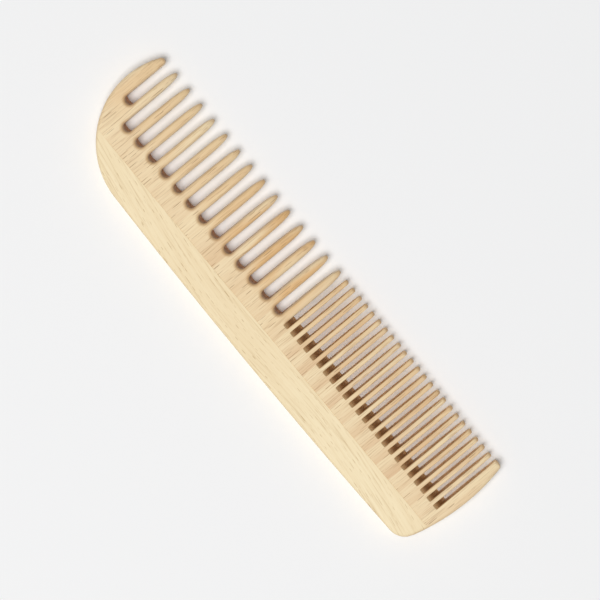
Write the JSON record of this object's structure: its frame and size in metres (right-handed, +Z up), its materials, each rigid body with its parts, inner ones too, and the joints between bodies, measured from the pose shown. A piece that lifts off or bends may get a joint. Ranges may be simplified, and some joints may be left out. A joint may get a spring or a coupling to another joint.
{
  "type": "comb",
  "caption": "Flat wooden hair comb with wide round teeth on one half, fine sawn teeth on the other and a glued spine rail.",
  "frame": {"origin": "centre of the bounding box's bottom, the comb lying flat", "axes": "+X along the comb from the round end with the wide teeth to the end with the fine teeth, +Y from the spine to the tooth tips, +Z up out of the upper face"},
  "size_m": [0.18, 0.0428, 0.008],
  "materials": {
    "spine_beech": "fine sanded and lightly oiled, grain along the comb",
    "board_beech": "fine sanded and lightly oiled, grain along the teeth"
  },
  "bodies": {
    "root": {"spine_rail": "spine_beech", "tooth_board": "board_beech"}
  },
  "joints": []
}
